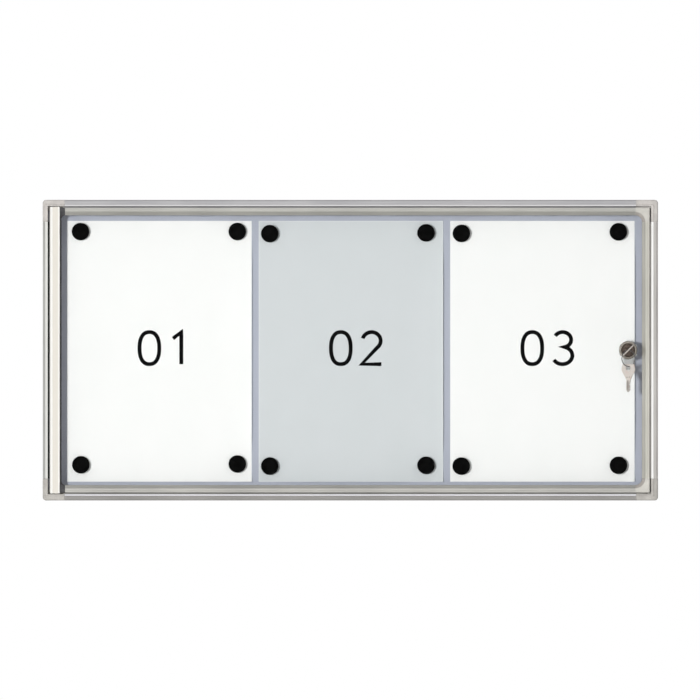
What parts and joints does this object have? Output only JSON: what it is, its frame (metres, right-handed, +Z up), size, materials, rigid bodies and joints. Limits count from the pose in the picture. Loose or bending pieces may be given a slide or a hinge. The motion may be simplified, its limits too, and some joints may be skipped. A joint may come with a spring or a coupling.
{
  "type": "notice board display case",
  "caption": "Shallow wall case with a steel back panel, a side-hinged glazed door with a cam lock, sheets held by round magnets, and keys on a ring.",
  "frame": {"origin": "centre of the four wall fixings, on the wall plane at the back of the case", "axes": "+X along the width to the lock side, +Y into the wall, +Z up; the door faces -Y"},
  "size_m": [0.7, 0.0506, 0.342],
  "materials": {
    "frame_aluminium": "satin anodised",
    "corner_plastic": "fine texture",
    "panel_paint": "satin, blue-grey",
    "spacer_nylon": "matte",
    "seal_rubber": "matte",
    "pin_steel": "ground",
    "keeper_steel": "zinc plated",
    "screw_steel": "zinc plated",
    "sheet_white": "matte",
    "sheet_grey": "matte",
    "magnet_black": "satin",
    "stile_cream": "satin, cream",
    "joint_plastic": "matte",
    "pane_glass": "clear",
    "bush_acetal": "smooth",
    "lock_nickel": "turned nickel",
    "rotor_dark": "dark nickel",
    "cam_steel": "zinc plated",
    "key_nickel": "nickel plated",
    "ring_wire": "polished wire"
  },
  "bodies": {
    "case": {"frame_profile_left": "frame_aluminium", "frame_profile_right": "frame_aluminium", "frame_profile_top": "frame_aluminium", "frame_profile_bottom": "frame_aluminium", "corner_cap_top_left": "corner_plastic", "corner_cap_bottom_left": "corner_plastic", "corner_cap_top_right": "corner_plastic", "corner_cap_bottom_right": "corner_plastic", "back_panel": "panel_paint", "wall_spacers": "spacer_nylon", "door_seal": "seal_rubber", "hinge_side_seal": "seal_rubber", "hinge_pin_top": "pin_steel", "hinge_pin_bottom": "pin_steel", "lock_keeper": "keeper_steel", "keeper_screws": "screw_steel", "sheet_left": "sheet_white", "sheet_middle": "sheet_grey", "sheet_right": "sheet_white", "magnets_left": "magnet_black", "magnets_middle": "magnet_black", "magnets_right": "magnet_black"},
    "door": {"hinge_stile": "stile_cream", "door_rail_top": "frame_aluminium", "door_rail_bottom": "frame_aluminium", "lock_stile": "frame_aluminium", "door_corner_top": "corner_plastic", "door_corner_bottom": "corner_plastic", "joint_block_top": "joint_plastic", "joint_block_bottom": "joint_plastic", "pane": "pane_glass", "pane_gasket": "seal_rubber", "hinge_bush_top": "bush_acetal", "hinge_bush_bottom": "bush_acetal", "lock_housing": "lock_nickel", "lock_washers": "seal_rubber", "lock_nut": "cam_steel"},
    "lock": {"lock_rotor": "rotor_dark", "lock_cam": "cam_steel", "cam_bolt": "screw_steel"},
    "key": {"lock_key": "key_nickel"},
    "ring": {"key_ring": "ring_wire"},
    "spare": {"spare_key": "key_nickel"}
  },
  "joints": [
    {"name": "door_swing", "type": "hinge", "parent": "case", "child": "door", "pos_m": [-0.3388, -0.0263, 0], "axis": [0, 0, -1], "range_deg": [0, 105]},
    {"name": "lock_turn", "type": "hinge", "parent": "door", "child": "lock", "pos_m": [0.316, -0.02, 0], "axis": [0, -1, 0], "range_deg": [0, 90]},
    {"name": "key_withdraw", "type": "slide", "parent": "lock", "child": "key", "axis": [0, -1, 0], "range_m": [0, 0.016]},
    {"name": "ring_hang", "type": "hinge", "parent": "key", "child": "ring", "pos_m": [0.316, -0.0446, 0], "axis": [0, -1, 0], "range_deg": [-90, 0]},
    {"name": "spare_key_swing", "type": "hinge", "parent": "ring", "child": "spare", "pos_m": [0.316, -0.0446, -0.0186], "axis": [0.809, 0.5878, 0], "range_deg": [-30, 30]}
  ],
  "couplings": [
    {"joint": "ring_hang", "follows": "lock_turn", "ratio": -1}
  ]
}
